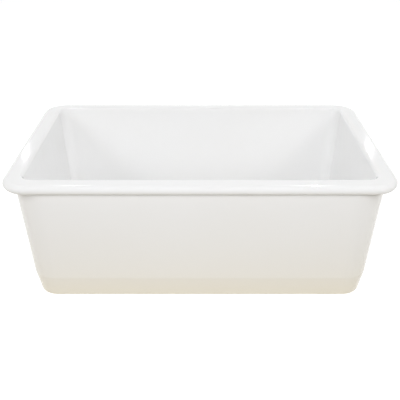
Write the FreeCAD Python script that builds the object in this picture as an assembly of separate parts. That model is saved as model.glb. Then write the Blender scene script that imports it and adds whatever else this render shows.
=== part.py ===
"""Farmhouse apron front sink with its basket strainer waste. Millimetres, +Z up, front towards -Y.

The origin is on the drain's axis, in the plane of the sink's flat base.
"""

import FreeCAD, Part
import math
import os

V = FreeCAD.Vector
UP = V(0, 0, 1)
ORIGIN = V(0, 0, 0)

# ---- sink: one piece of glazed fireclay ----
SINK_WIDTH = 762.0
SINK_DEPTH = 508.0
SINK_HEIGHT = 266.7
RIM_WIDTH = 38.0
RIM_THICK = 20.0
RIM_CORNER = 52.0
RIM_INNER_EASE = 6.0
RIM_LAP = 6.0
SIDE_OVERHANG = 15.0
FRONT_OVERHANG = 12.0
BACK_OVERHANG = 19.0
WALL_LEAN = math.tan(math.radians(6.3))
BODY_CORNER = 70.0
FOOT_HEIGHT = 47.5
FOOT_TUCK = 5.8
FOOT_CREASE_EASE = 25.0
BASE_EASE = 7.0

# ---- bowl ----
BOWL_LEAN = math.tan(math.radians(5.6))
BOWL_CORNER = 22.0
FLOOR_COVE = 30.0
FLOOR_EDGE_Z = 26.0
FLOOR_DRAIN_Z = 22.0
FLOOR_MARGIN = 2.0
FLAT_AT_DRAIN = 62.0
LEDGE_Z = 18.0
RECESS_R = 59.5
DRAIN_HOLE_R = 46.0
DRAIN_EDGE_CHAMFER = 1.5
DRAIN_POCKET_R = 75.0
DRAIN_POCKET = 3.0

# ---- strainer body ----
SEAL_THICK = 1.5
SEAL_INNER_R = 46.5
SEAL_OUTER_R = 56.0
FLANGE_R = 57.0
FLANGE_EDGE = 1.3
FLANGE_CROWN_R = 44.0
FLANGE_CROWN = 2.4
MOUTH_R = 38.6
MOUTH_DIP = 4.0
BARREL_R = 41.25
BARREL_END = -24.0
BASKET_SEAT_Z = 11.0
BASKET_SEAT_R = 36.4
CUP_FLOOR_R = 27.5
CUP_FLOOR_Z = -33.0
CUP_COVE = 9.0
CUP_WALL = 2.5
OUTLET_R = 19.0
SPIGOT_R = 23.9
SPIGOT_END = -50.0

# ---- clamping stack under the sink ----
STACK_BORE_R = 41.6
GASKET_THICK = 4.0
GASKET_R = 56.0
RING_THICK = 1.2
RING_R = 55.0
LOCK_NUT_HEIGHT = 11.0
LOCK_NUT_FLATS_R = 52.0
LOCK_NUT_SIDES = 8
HEXAGON = 6

# ---- tailpiece and coupling nut ----
TAIL_R = 19.05
TAIL_WALL = 1.1
TAIL_END = -152.0
TAIL_FLANGE_R = 22.6
TAIL_FLANGE = 1.5
TAIL_NECK_R = 19.8
TAIL_NECK_END = -60.0
TAIL_WASHER_R = 23.2
TAIL_WASHER = 2.5
COUPLING_CORNER_R = 32.0
COUPLING_TOP = -38.5
COUPLING_LIP = 3.5
LOOSE_FIT = 0.3

# ---- basket ----
BASKET_RIM_R = 38.1
BASKET_SHEET = 0.9
BASKET_R = 34.5
BASKET_DEPTH = 25.0
BASKET_COVE = 4.0
WALL_SLOTS = 20
WALL_SLOT_LOW = -8.0
WALL_SLOT_HIGH = 6.0
FLOOR_SLOTS = 10
FLOOR_SLOT_IN = 12.5
FLOOR_SLOT_OUT = 28.0
SLOT_WIDTH = 3.0

# ---- hub, post and stopper, with the stopper raised ----
POST_R = 4.0
POST_FIT = 0.05
HUB_R = 8.0
HUB_FOOT_R = 10.0
HUB_FOOT = 1.0
HUB_TOP = 5.0
DETENT_WIDTH = 1.4
DETENT_DEPTH = 0.5
CLIP_THICK = 1.0
CLIP_INNER_R = 4.35
CLIP_OUTER_R = 5.4
CLIP_GAP = 40.0
PRESS_TRAVEL = 9.0
SEALED_GAP = 0.1
STOPPER_R = 25.5
STOPPER_THICK = 5.0
STOPPER_BEVEL = 2.0
BACKING_R = 15.0
BACKING_THICK = 1.0
STUD_R = 2.5
THREAD_FIT = 0.05
STOPPER_NUT_R = 4.6
STOPPER_NUT = 4.0
STUD_BELOW_NUT = 1.0
KNOB_Z = 18.0
KNOB_R = 10.0
KNOB_FOOT_R = 6.2
KNOB_GRIP = 6.0
KNOB_EDGE = 1.5
KNOB_HEIGHT = 13.0
KNOB_SOCKET = 6.0

# ---- levels that follow from the above ----
FLANGE_Z = LEDGE_Z + SEAL_THICK
RING_TOP = DRAIN_POCKET - GASKET_THICK
LOCK_NUT_TOP = RING_TOP - RING_THICK
LOCK_NUT_END = LOCK_NUT_TOP - LOCK_NUT_HEIGHT
TAIL_TOP = SPIGOT_END - TAIL_WASHER
LIP_TOP = TAIL_TOP - TAIL_FLANGE
BASKET_FLOOR_Z = BASKET_SEAT_Z - BASKET_DEPTH
STOPPER_Z = CUP_FLOOR_Z + SEALED_GAP + PRESS_TRAVEL
BACKING_Z = STOPPER_Z + STOPPER_THICK
SHOULDER_Z = BACKING_Z + BACKING_THICK


# ---------------------------------------------------------------- shapes that the pieces share


def eased(points):
    """A closed wire in the XZ plane through points (r, z) or (r, z, ease); an ease rounds its corner."""
    corners = [(V(p[0], 0, p[1]), p[2] if len(p) == 3 else 0.0) for p in points]
    arcs = []
    for i, (corner, ease) in enumerate(corners):
        before = (corners[i - 1][0] - corner).normalize()
        after = (corners[(i + 1) % len(corners)][0] - corner).normalize()
        half = before.getAngle(after) / 2
        start = corner + before * (ease / math.tan(half))
        end = corner + after * (ease / math.tan(half))
        middle = corner + (before + after).normalize() * (ease / math.sin(half) - ease) if ease else corner
        arcs.append((start, middle, end))
    edges = []
    for i, (start, middle, end) in enumerate(arcs):
        if start.distanceToPoint(end) > 1e-6:
            edges.append(Part.Arc(start, middle, end).toShape())
        following = arcs[(i + 1) % len(arcs)][0]
        if end.distanceToPoint(following) > 1e-6:
            edges.append(Part.makeLine(end, following))
    return Part.Wire(edges)


def turned(points):
    """The solid that a section makes when it turns about the drain's axis."""
    return Part.Face(eased(points)).revolve(ORIGIN, UP, 360)


def ring(inner_r, outer_r, low, high):
    return turned([(inner_r, low), (outer_r, low), (outer_r, high), (inner_r, high)])


def around(shape, count, first=0.0):
    """Copies of a shape, evenly spaced about the drain's axis."""
    copies = []
    for i in range(count):
        copy = shape.copy()
        copy.rotate(ORIGIN, UP, first + 360.0 * i / count)
        copies.append(copy)
    return copies


def round_the_corners(section, centres):
    """The bar that a section makes round a rounded rectangle, turning at each corner.

    In the section, X is the distance outwards from the corner's centre.
    """
    pieces = []
    for i, here in enumerate(centres):
        following = centres[(i + 1) % 4]
        corner = section.copy()
        corner.rotate(ORIGIN, UP, 90 * i)
        corner.translate(here)
        pieces.append(corner.revolve(here, UP, 90))
        side = section.copy()
        side.rotate(ORIGIN, UP, 90 * (i + 1))
        side.translate(here)
        pieces.append(side.extrude(following - here))
    return pieces[0].multiFuse(pieces[1:])


def corner_centres(half_x, front, back, radius):
    """The corners' centres of a rounded rectangle, from the back right corner anticlockwise."""
    x = half_x - radius
    back_y = back - radius
    front_y = front + radius
    return [V(x, back_y, 0), V(-x, back_y, 0), V(-x, front_y, 0), V(x, front_y, 0)]


def tapered_block(half_low, half_high):
    """A four-sided block between two level rectangles, each given as (half_x, half_y, z)."""
    low, high = [
        [V(x, y, z), V(-x, y, z), V(-x, -y, z), V(x, -y, z)] for x, y, z in (half_low, half_high)
    ]
    sides = [[low[i - 1], low[i], high[i], high[i - 1]] for i in range(4)]
    faces = [Part.Face(Part.makePolygon(loop + loop[:1])) for loop in [low[::-1], high] + sides]
    return Part.Solid(Part.Shell(faces))


def level_edges(shape, z):
    return [e for e in shape.Edges if max(abs(e.BoundBox.ZMin - z), abs(e.BoundBox.ZMax - z)) < 0.05]


# ---------------------------------------------------------------- sink


def sink_body():
    """The body below the rim: walls that lean in to a foot that tucks in further."""
    top = SINK_HEIGHT - RIM_THICK / 2
    crease_r = BODY_CORNER - (SINK_HEIGHT - RIM_THICK - FOOT_HEIGHT) * WALL_LEAN
    base_r = crease_r - FOOT_HEIGHT * WALL_LEAN - FOOT_TUCK
    section = [
        (0, 0),
        (base_r, 0, BASE_EASE),
        (crease_r, FOOT_HEIGHT, FOOT_CREASE_EASE),
        (BODY_CORNER + RIM_THICK / 2 * WALL_LEAN, top),
        (0, top),
    ]
    centres = corner_centres(
        SINK_WIDTH / 2 - SIDE_OVERHANG,
        FRONT_OVERHANG - SINK_DEPTH / 2,
        SINK_DEPTH / 2 - BACK_OVERHANG,
        BODY_CORNER,
    )
    diagonal = centres[0] - centres[2]
    core = Part.makeBox(diagonal.x, diagonal.y, top, centres[2])
    return round_the_corners(Part.Face(eased(section)), centres).fuse(core)


def sink_rim():
    """The rim: a flat bar with a half-round outer edge."""
    low = SINK_HEIGHT - RIM_THICK
    inner = RIM_CORNER - RIM_WIDTH - RIM_LAP
    nose = RIM_THICK / 2
    ends = [V(RIM_CORNER - nose, 0, low), V(RIM_CORNER - nose, 0, SINK_HEIGHT)]
    back = [V(inner, 0, SINK_HEIGHT), V(inner, 0, low)]
    front = Part.Arc(ends[0], V(RIM_CORNER, 0, low + nose), ends[1]).toShape()
    section = Part.Face(Part.Wire([front] + Part.makePolygon([ends[1]] + back + [ends[0]]).Edges))
    centres = corner_centres(SINK_WIDTH / 2, -SINK_DEPTH / 2, SINK_DEPTH / 2, RIM_CORNER)
    return round_the_corners(section, centres)


def bowl_half(z):
    """Half the bowl's width and depth at a level, as (half_x, half_y, z)."""
    inset = RIM_WIDTH + (SINK_HEIGHT - z) * BOWL_LEAN
    return SINK_WIDTH / 2 - inset, SINK_DEPTH / 2 - inset, z


def bowl_space():
    """The space inside the bowl, with a floor whose four faces fall to the drain."""
    walls = tapered_block(bowl_half(FLOOR_EDGE_Z), bowl_half(SINK_HEIGHT + RIM_LAP))
    walls = walls.makeFillet(BOWL_CORNER, [e for e in walls.Edges if e.BoundBox.ZLength > SINK_HEIGHT / 2])
    walls = walls.makeFillet(FLOOR_COVE, level_edges(walls, FLOOR_EDGE_Z))
    half_x, half_y, z = bowl_half(FLOOR_EDGE_Z)
    margin = FLOOR_COVE + FLOOR_MARGIN
    fall = tapered_block(
        (FLAT_AT_DRAIN, FLAT_AT_DRAIN, FLOOR_DRAIN_Z),
        (half_x - margin, half_y - margin, z),
    )
    return walls.fuse(fall)


def drain_opening():
    """The recess for the strainer's flange, the hole through the floor, and the gasket's pocket."""
    ease = DRAIN_EDGE_CHAMFER
    return turned([
        (0, -ease),
        (DRAIN_POCKET_R + 2 * ease, -ease),
        (DRAIN_POCKET_R, ease),
        (DRAIN_POCKET_R, DRAIN_POCKET),
        (DRAIN_HOLE_R + ease, DRAIN_POCKET),
        (DRAIN_HOLE_R, DRAIN_POCKET + ease),
        (DRAIN_HOLE_R, LEDGE_Z),
        (RECESS_R, LEDGE_Z),
        (RECESS_R, FLOOR_DRAIN_Z - ease),
        (RECESS_R + 2 * ease, FLOOR_DRAIN_Z + ease),
        (0, FLOOR_DRAIN_Z + ease),
    ])


def sink_basin():
    basin = sink_body().fuse(sink_rim()).cut(bowl_space()).cut(drain_opening()).removeSplitter()
    half_x, half_y, top = bowl_half(SINK_HEIGHT)
    inner = [
        e for e in level_edges(basin, top)
        if abs(e.BoundBox.Center.x) < half_x + 1 and abs(e.BoundBox.Center.y) < half_y + 1
    ]
    return basin.makeFillet(RIM_INNER_EASE, inner)


# ---------------------------------------------------------------- strainer and what clamps it


def strainer_body():
    """The flange, the cup with its seat for the basket, the threaded barrel and the outlet spigot."""
    crown = FLANGE_Z + FLANGE_CROWN
    under = CUP_FLOOR_Z - CUP_WALL
    return turned([
        (FLANGE_R, FLANGE_Z),
        (FLANGE_R, FLANGE_Z + FLANGE_EDGE),
        (FLANGE_CROWN_R, crown),
        (MOUTH_R, crown - MOUTH_DIP),
        (MOUTH_R, BASKET_SEAT_Z),
        (BASKET_SEAT_R, BASKET_SEAT_Z),
        (BASKET_SEAT_R, CUP_FLOOR_Z + CUP_COVE),
        (CUP_FLOOR_R, CUP_FLOOR_Z),
        (OUTLET_R, CUP_FLOOR_Z),
        (OUTLET_R, SPIGOT_END),
        (SPIGOT_R, SPIGOT_END),
        (SPIGOT_R, under),
        (CUP_FLOOR_R + CUP_WALL, under),
        (BARREL_R, BARREL_END),
        (BARREL_R, FLANGE_Z),
    ])


def flats(sides, corner_r, low, height, bore_r):
    """A ring with flat sides and a round bore."""
    turns = [math.radians(360.0 * i / sides) for i in range(sides + 1)]
    outline = Part.makePolygon([V(corner_r * math.cos(t), corner_r * math.sin(t), low) for t in turns])
    return Part.Face(outline).extrude(V(0, 0, height)).cut(Part.makeCylinder(bore_r, height, V(0, 0, low)))


def lock_nut():
    corner_r = LOCK_NUT_FLATS_R / math.cos(math.pi / LOCK_NUT_SIDES)
    return flats(LOCK_NUT_SIDES, corner_r, LOCK_NUT_END, LOCK_NUT_HEIGHT, STACK_BORE_R)


def coupling_nut():
    """The hexagon nut that draws the tailpiece's flange up to the spigot, with a lip under the flange."""
    end = LIP_TOP - COUPLING_LIP
    nut = flats(HEXAGON, COUPLING_CORNER_R, end, COUPLING_TOP - end, TAIL_NECK_R + LOOSE_FIT)
    return nut.cut(Part.makeCylinder(SPIGOT_R + LOOSE_FIT, COUPLING_TOP - LIP_TOP, V(0, 0, LIP_TOP)))


def tailpiece():
    """A tube with a flange turned out at its top, and a thicker neck inside the coupling nut's lip."""
    bore = TAIL_R - TAIL_WALL
    return turned([
        (bore, TAIL_END),
        (TAIL_R, TAIL_END),
        (TAIL_R, TAIL_NECK_END),
        (TAIL_NECK_R, TAIL_NECK_END),
        (TAIL_NECK_R, LIP_TOP),
        (TAIL_FLANGE_R, LIP_TOP),
        (TAIL_FLANGE_R, TAIL_TOP),
        (bore, TAIL_TOP),
    ])


# ---------------------------------------------------------------- basket


def basket_slots():
    """The tools that cut upright slots in the basket's wall and radial ones in its floor."""
    half = SLOT_WIDTH / 2
    through = 3 * BASKET_SHEET
    upright = WALL_SLOT_HIGH - WALL_SLOT_LOW
    wall = Part.makeBox(through, SLOT_WIDTH, upright, V(BASKET_R - 2 * BASKET_SHEET, -half, WALL_SLOT_LOW))
    below = V(FLOOR_SLOT_IN, -half, BASKET_FLOOR_Z - BASKET_SHEET)
    floor = Part.makeBox(FLOOR_SLOT_OUT - FLOOR_SLOT_IN, SLOT_WIDTH, through, below)
    return Part.makeCompound(around(wall, WALL_SLOTS) + around(floor, FLOOR_SLOTS))


def basket_cup():
    """The pressed cup, whose flat rim hangs on the strainer's seat."""
    floor = BASKET_FLOOR_Z
    inside = floor + BASKET_SHEET
    cup = turned([
        (BASKET_RIM_R, BASKET_SEAT_Z),
        (BASKET_RIM_R, BASKET_SEAT_Z + BASKET_SHEET),
        (BASKET_R - BASKET_SHEET, BASKET_SEAT_Z + BASKET_SHEET),
        (BASKET_R - BASKET_SHEET, inside + BASKET_COVE),
        (BASKET_R - BASKET_COVE, inside),
        (HUB_R, inside),
        (HUB_R, floor),
        (BASKET_R - BASKET_COVE, floor),
        (BASKET_R, floor + BASKET_COVE),
        (BASKET_R, BASKET_SEAT_Z),
    ])
    return cup.cut(basket_slots())


def basket_hub():
    """The sleeve fixed in the basket's floor, with a counterbore at its top for the detent clip."""
    bore = POST_R + POST_FIT
    inside = BASKET_FLOOR_Z + BASKET_SHEET
    return turned([
        (bore, BASKET_FLOOR_Z),
        (HUB_R, BASKET_FLOOR_Z),
        (HUB_R, inside),
        (HUB_FOOT_R, inside),
        (HUB_FOOT_R - HUB_FOOT, inside + HUB_FOOT),
        (HUB_R - HUB_FOOT, inside + 2 * HUB_FOOT),
        (HUB_R - HUB_FOOT, HUB_TOP),
        (CLIP_OUTER_R, HUB_TOP),
        (CLIP_OUTER_R, 0),
        (bore, 0),
    ])


def detent_clip():
    """The split spring ring that snaps into the post's grooves, with its gap to the front."""
    section = [(CLIP_INNER_R, 0), (CLIP_OUTER_R, 0), (CLIP_OUTER_R, CLIP_THICK), (CLIP_INNER_R, CLIP_THICK)]
    clip = Part.Face(eased(section)).revolve(ORIGIN, UP, 360 - CLIP_GAP)
    clip.rotate(ORIGIN, UP, 270 + CLIP_GAP / 2)
    return clip


def basket_post():
    """The post, with a stud for the stopper, and detent grooves as far apart as the stopper travels."""
    stud_end = STOPPER_Z - STOPPER_NUT - STUD_BELOW_NUT
    groove_r = POST_R - DETENT_DEPTH
    outline = [(0, stud_end), (STUD_R, stud_end), (STUD_R, SHOULDER_Z), (POST_R, SHOULDER_Z)]
    for groove in (0.0, PRESS_TRAVEL):
        top = groove + DETENT_WIDTH
        outline += [(POST_R, groove), (groove_r, groove), (groove_r, top), (POST_R, top)]
    outline += [(POST_R, KNOB_Z + KNOB_SOCKET), (0, KNOB_Z + KNOB_SOCKET)]
    return turned(outline)


def basket_knob():
    socket_r = POST_R + THREAD_FIT
    socket_end = KNOB_Z + KNOB_SOCKET
    top = KNOB_Z + KNOB_HEIGHT
    return turned([
        (socket_r, KNOB_Z),
        (KNOB_FOOT_R, KNOB_Z),
        (KNOB_R, top - KNOB_GRIP),
        (KNOB_R, top - KNOB_EDGE),
        (KNOB_R - KNOB_EDGE, top),
        (0, top),
        (0, socket_end),
        (socket_r, socket_end),
    ])


def stopper_disc():
    bore = STUD_R + THREAD_FIT
    return turned([
        (bore, STOPPER_Z),
        (STOPPER_R - STOPPER_BEVEL, STOPPER_Z),
        (STOPPER_R, STOPPER_Z + STOPPER_BEVEL),
        (STOPPER_R, BACKING_Z),
        (bore, BACKING_Z),
    ])


def stopper_nut():
    return flats(HEXAGON, STOPPER_NUT_R, STOPPER_Z - STOPPER_NUT, STOPPER_NUT, STUD_R + THREAD_FIT)


PIECES = {
    "sink_basin": sink_basin,
    "flange_seal": lambda: ring(SEAL_INNER_R, SEAL_OUTER_R, LEDGE_Z, FLANGE_Z),
    "strainer_body": strainer_body,
    "under_gasket": lambda: ring(STACK_BORE_R, GASKET_R, RING_TOP, DRAIN_POCKET),
    "friction_ring": lambda: ring(STACK_BORE_R, RING_R, LOCK_NUT_TOP, RING_TOP),
    "lock_nut": lock_nut,
    "tailpiece_washer": lambda: ring(TAIL_R - TAIL_WALL, TAIL_WASHER_R, TAIL_TOP, SPIGOT_END),
    "coupling_nut": coupling_nut,
    "tailpiece": tailpiece,
    "basket_cup": basket_cup,
    "basket_hub": basket_hub,
    "detent_clip": detent_clip,
    "basket_post": basket_post,
    "basket_knob": basket_knob,
    "stopper_disc": stopper_disc,
    "stopper_backing": lambda: ring(STUD_R + THREAD_FIT, BACKING_R, BACKING_Z, SHOULDER_Z),
    "stopper_nut": stopper_nut,
}


def main():
    os.makedirs("parts", exist_ok=True)
    for node, make in PIECES.items():
        make().exportStep(f"parts/{node}.step")


main()
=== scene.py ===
"""A farmhouse apron front sink in glazed fireclay, with its basket strainer waste."""

import math

import bmesh
import bpy
from bpy.props import FloatProperty, FloatVectorProperty, PointerProperty
from mathutils import Matrix, Vector, noise


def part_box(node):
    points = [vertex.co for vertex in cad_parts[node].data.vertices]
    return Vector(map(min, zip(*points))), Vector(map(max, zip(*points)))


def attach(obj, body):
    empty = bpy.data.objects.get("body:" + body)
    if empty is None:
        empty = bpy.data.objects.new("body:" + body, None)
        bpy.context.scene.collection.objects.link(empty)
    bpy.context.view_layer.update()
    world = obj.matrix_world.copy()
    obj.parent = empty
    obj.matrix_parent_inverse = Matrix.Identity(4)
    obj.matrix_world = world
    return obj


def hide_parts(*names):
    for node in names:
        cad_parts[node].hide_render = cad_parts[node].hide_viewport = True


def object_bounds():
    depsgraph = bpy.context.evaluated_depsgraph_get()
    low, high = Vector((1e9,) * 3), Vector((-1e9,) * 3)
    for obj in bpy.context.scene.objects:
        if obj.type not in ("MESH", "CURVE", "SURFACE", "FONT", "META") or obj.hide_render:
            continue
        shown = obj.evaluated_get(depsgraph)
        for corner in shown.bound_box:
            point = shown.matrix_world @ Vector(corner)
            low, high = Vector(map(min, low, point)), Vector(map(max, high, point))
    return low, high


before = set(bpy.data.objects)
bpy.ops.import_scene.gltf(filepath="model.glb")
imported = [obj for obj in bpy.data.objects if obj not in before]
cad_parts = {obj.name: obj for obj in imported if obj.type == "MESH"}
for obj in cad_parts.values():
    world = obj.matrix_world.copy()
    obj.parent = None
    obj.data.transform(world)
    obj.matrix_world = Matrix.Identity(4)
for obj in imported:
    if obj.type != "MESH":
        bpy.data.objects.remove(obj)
CAD_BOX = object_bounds()

bl_info = {
    "name": "Farmhouse sink",
    "version": (1, 0, 0),
    "blender": (4, 5, 0),
    "location": "View3D > Sidebar > Sink",
    "description": "Builds a glazed fireclay apron front sink and its basket strainer waste",
    "category": "Object",
}

MM = 0.001

# ---------------------------------------------------------------- sizes and colours a user would change


def length(name, description, millimetres):
    return FloatProperty(name=name, description=description, default=millimetres * MM, unit="LENGTH")


def angle(name, description, degrees):
    return FloatProperty(name=name, description=description, default=math.radians(degrees), subtype="ANGLE")


def colour(name, description, rgb):
    return FloatVectorProperty(
        name=name, description=description, default=rgb, subtype="COLOR", size=3, min=0, max=1
    )


def plain(name, description, value):
    return FloatProperty(name=name, description=description, default=value)


class BasinSizes(bpy.types.PropertyGroup):
    """The basin, which is one piece of fireclay."""

    rim_width: length("Rim width", "Flat rim from the outer edge to the bowl", 38)
    rim_thick: length("Rim thickness", "Height of the rim's half-round edge", 20)
    rim_corner: length("Rim corner", "Radius of the rim's outer corners", 52)
    rim_inner_ease: length("Rim inner ease", "Rounding where the rim turns down into the bowl", 6)
    under_rim_ease: length("Under rim ease", "Hollow rounding where the rim meets the wall", 1.8)
    side_overhang: length("Side overhang", "Rim past the body at the sides", 15)
    front_overhang: length("Front overhang", "Rim past the apron", 12)
    back_overhang: length("Back overhang", "Rim past the body at the back", 19)
    body_corner: length("Body corner", "Radius of the body's corners under the rim", 70)
    wall_lean: angle("Wall lean", "Lean of the outer walls", 6.3)
    foot_height: length("Foot height", "Height of the foot that tucks in below the crease", 47.5)
    foot_tuck: length("Foot tuck", "How far the foot tucks in past the walls' own lean", 5.8)
    crease_ease: length("Crease ease", "Rounding of the crease above the foot", 25)
    base_ease: length("Base ease", "Rounding of the edge of the base", 7)
    bowl_lean: angle("Bowl lean", "Lean of the bowl's walls", 5.6)
    bowl_corner: length("Bowl corner", "Radius of the bowl's upright corners", 22)
    floor_corner: length("Floor corner", "Radius of the floor's corners inside the cove", 9)
    floor_cove: length("Floor cove", "Hollow rounding between the bowl's walls and floor", 30)
    floor_edge: length("Floor edge", "Height of the floor at the walls", 26)
    floor_drain: length("Floor at the drain", "Height of the floor at the drain", 22)
    ledge: length("Ledge", "Height of the ledge that carries the strainer's flange", 18)
    recess: length("Recess", "Radius of the recess round the drain", 59.5)
    drain_hole: length("Drain hole", "Radius of the hole through the floor", 46)
    drain_ease: length("Drain ease", "Rounding of the recess's and the hole's edges", 1.5)
    pocket: length("Pocket", "Radius of the shallow pocket under the base", 75)
    pocket_depth: length("Pocket depth", "Depth of the shallow pocket under the base", 3)
    ripple: length("Ripple", "How far the hand-smoothed clay wanders from true", 0.35)
    ripple_scale: length("Ripple scale", "Distance from one swell of the clay to the next", 95)


class WasteSizes(bpy.types.PropertyGroup):
    """The strainer, what clamps it under the basin, and the tailpiece."""

    flange_edge: length("Flange edge", "Height of the flange's outer edge", 1.3)
    crown: length("Crown", "Radius where the flange is highest", 44)
    mouth: length("Mouth", "Radius of the strainer's mouth", 38.6)
    mouth_dip: length("Mouth dip", "How far the flange dips into the mouth", 4)
    cup: length("Cup", "Radius of the cup under the basket's seat", 36.4)
    cup_floor: length("Cup floor", "Level of the cup's floor below the base", 33)
    cup_cove: length("Cup cove", "Hollow rounding between the cup's wall and floor", 9)
    cup_wall: length("Cup wall", "Thickness of the cup's wall", 2.5)
    barrel: length("Barrel", "Radius of the threaded barrel", 41.25)
    barrel_end: length("Barrel end", "Level of the barrel's lower end below the base", 24)
    outlet: length("Outlet", "Radius of the way out of the cup", 19)
    spigot: length("Spigot", "Radius of the spigot that takes the tailpiece", 23.9)
    stack_bore: length("Stack bore", "Radius of the gasket's, ring's and lock nut's bore", 41.6)
    thread_pitch: length("Thread pitch", "Rise of the barrel's thread in a turn", 2.2)
    thread_depth: length("Thread depth", "Depth of the barrel's thread", 0.6)
    tube: length("Tube", "Radius of the tailpiece", 19.05)
    tube_wall: length("Tube wall", "Thickness of the tailpiece", 1.1)
    neck: length("Neck", "Radius of the tailpiece just under its flange", 19.8)
    neck_end: length("Neck end", "Level where the neck ends below the base", 60)
    tube_flange: length("Tube flange", "Thickness of the tailpiece's flange", 1.5)
    lip: length("Lip", "Height of the coupling nut's lip", 3.5)
    loose_fit: length("Loose fit", "Room inside the coupling nut", 0.3)
    seal_bore: length("Seal bore", "Radius of the sealing ring's bore", 46.5)


class BasketSizes(bpy.types.PropertyGroup):
    """The basket, the post that slides in it and the stopper under it."""

    sheet: length("Sheet", "Thickness of the pressed basket", 0.9)
    wall: length("Basket wall", "Radius of the basket's wall", 34.5)
    cove: length("Basket cove", "Rounding between the basket's wall and floor", 5)
    slot_width: length("Slot width", "Width of the slots", 3)
    wall_slot_low: length("Wall slot low", "Lower end of the wall's slots below the base", 8)
    wall_slot_high: length("Wall slot high", "Upper end of the wall's slots above the base", 6)
    floor_slot_in: length("Floor slot in", "Inner end of the floor's slots", 12.5)
    floor_slot_out: length("Floor slot out", "Outer end of the floor's slots", 28)
    hub: length("Hub", "Radius of the hub in the basket's floor", 8)
    hub_wall: length("Hub step", "Step from the hub's foot to its sleeve", 1)
    hub_bore: length("Hub bore", "Radius of the hub's bore", 4.05)
    clip_seat: length("Clip seat", "Radius of the counterbore for the spring clip", 5.4)
    clip_inner: length("Clip inner", "Inner radius of the spring clip", 4.35)
    clip_gap: angle("Clip gap", "Gap between the clip's ends", 40)
    groove: length("Groove", "Depth of the post's two grooves", 0.5)
    groove_width: length("Groove width", "Height of a groove", 1.4)
    travel: length("Travel", "How far the stopper travels", 9)
    stud: length("Stud", "Radius of the stud below the stopper", 2.5)
    knob_foot: length("Knob foot", "Radius of the knob's foot", 6.2)
    grip: length("Grip", "Height of the knob's fluted grip", 6)
    flute: length("Flute", "Depth of the flutes", 0.35)
    dome: length("Dome", "Rise of the knob's domed top", 1.5)
    thread_fit: length("Thread fit", "Room in the knob's, washer's and nut's threads", 0.05)
    stopper_bevel: length("Stopper bevel", "Bevel of the stopper's sealing edge", 2)


class Finishes(bpy.types.PropertyGroup):
    """Colours of the pieces."""

    glaze: colour("Glaze", "White glaze", (0.88, 0.881, 0.882))
    glaze_warm: colour("Thin glaze", "Glaze where it runs thin and the clay warms it", (0.872, 0.870, 0.866))
    clay: colour("Clay", "Bare fired clay under the base", (0.68, 0.61, 0.52))
    speck: colour("Speck", "Faint iron specks in the glaze", (0.52, 0.46, 0.40))
    steel: colour("Steel", "Stainless steel", (0.62, 0.62, 0.61))
    chrome: colour("Chrome", "Chrome plating", (0.74, 0.75, 0.76))
    spring: colour("Spring steel", "Drawn spring wire", (0.50, 0.50, 0.49))
    brass: colour("Brass", "Cast brass", (0.60, 0.46, 0.23))
    black_rubber: colour("Black rubber", "Gasket and stopper", (0.035, 0.035, 0.037))
    grey_rubber: colour("Grey rubber", "Seal under the flange", (0.28, 0.28, 0.28))
    fibre: colour("Fibre", "Pressed fibre ring", (0.42, 0.29, 0.17))
    nylon: colour("Nylon", "White nylon washer", (0.80, 0.79, 0.76))


class StageLook(bpy.types.PropertyGroup):
    """Camera, floor and lamps."""

    lens: plain("Lens", "Focal length in millimetres on a 36 mm sensor", 63.0)
    camera_back: length("Camera distance", "Camera in front of the drain", 1440.4)
    camera_up: length("Camera height", "Camera above the base", 803.5)
    camera_tilt: angle("Camera tilt", "How far the camera looks down", 25.4)
    floor_near: colour("Near floor", "Warm light from the floor beside the object", (0.62, 0.512, 0.278))
    floor_far: colour("Far floor", "Light from the floor further out in front", (0.44, 0.485, 0.6))
    floor_beside: colour("Side floor", "Light from the floor further out elsewhere", (0.28, 0.25, 0.2))
    floor_fade: length("Floor fade", "How far the warm light reaches", 350)
    floor_grey: plain("Floor shadow", "How much of the object's shadow shows on the floor", 0.35)
    floor_glow: plain("Floor glow", "Floor's own white, as the camera sees it", 0.95)
    floor_hole: length("Floor hole", "Radius of the hole for the waste", 70)
    floor_reach: length("Floor reach", "Radius of the floor", 30000)
    world: plain("World", "Strength of the even light all round", 0.095)
    world_front: plain("World front", "How much stronger the even light is in front", 0.1)
    front_low: plain("Front lamp", "Power of the soft lamp over the camera, in watts", 8.3)
    front_high: plain("High front lamp", "Power of the soft lamp over the bowl, in watts", 12.6)
    left_key: plain("Left key", "Power of the smaller lamp on the left, in watts", 6.0)
    right_key: plain("Right key", "Power of the smaller lamp on the right, in watts", 6.3)
    sides: plain("Side lamps", "Power of each soft lamp at the sides, in watts", 12.1)
    back_low: plain("Back lamp", "Power of the soft lamp low behind, in watts", 20.0)
    back_high: plain("High back lamp", "Power of the soft lamp high behind, in watts", 9.5)
    low_glints: plain("Low glints", "Power of each lamp that glints on a side rim, in watts", 0.08)
    high_glints: plain("High glints", "Power of each lamp that glints on the front rim, in watts", 4.0)


# ---------------------------------------------------------------- meshes


SHARP = math.radians(35)
TURNED_STEPS = 96
MERGED = 1e-6


def unit(value):
    """A value held between 0 and 1."""
    return min(max(value, 0), 1)


def points_of(geometry):
    return [g for g in geometry if isinstance(g, bmesh.types.BMVert)]


def everything(bm):
    return bm.verts[:] + bm.edges[:] + bm.faces[:]


def spun(bm, geom, angle, steps, **settings):
    """Spins geometry about the drain's axis."""
    bmesh.ops.spin(bm, geom=geom, axis=(0, 0, 1), cent=(0, 0, 0), angle=angle, steps=steps, **settings)


def rotated(bm, matrix):
    bmesh.ops.rotate(bm, verts=bm.verts, cent=(0, 0, 0), matrix=matrix)


def raised(bm, height):
    """Raises a flat outline to an upright bar."""
    top = points_of(bmesh.ops.extrude_face_region(bm, geom=bm.faces[:])["geom"])
    bmesh.ops.translate(bm, verts=top, vec=(0, 0, height))
    bmesh.ops.recalc_face_normals(bm, faces=bm.faces)


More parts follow.
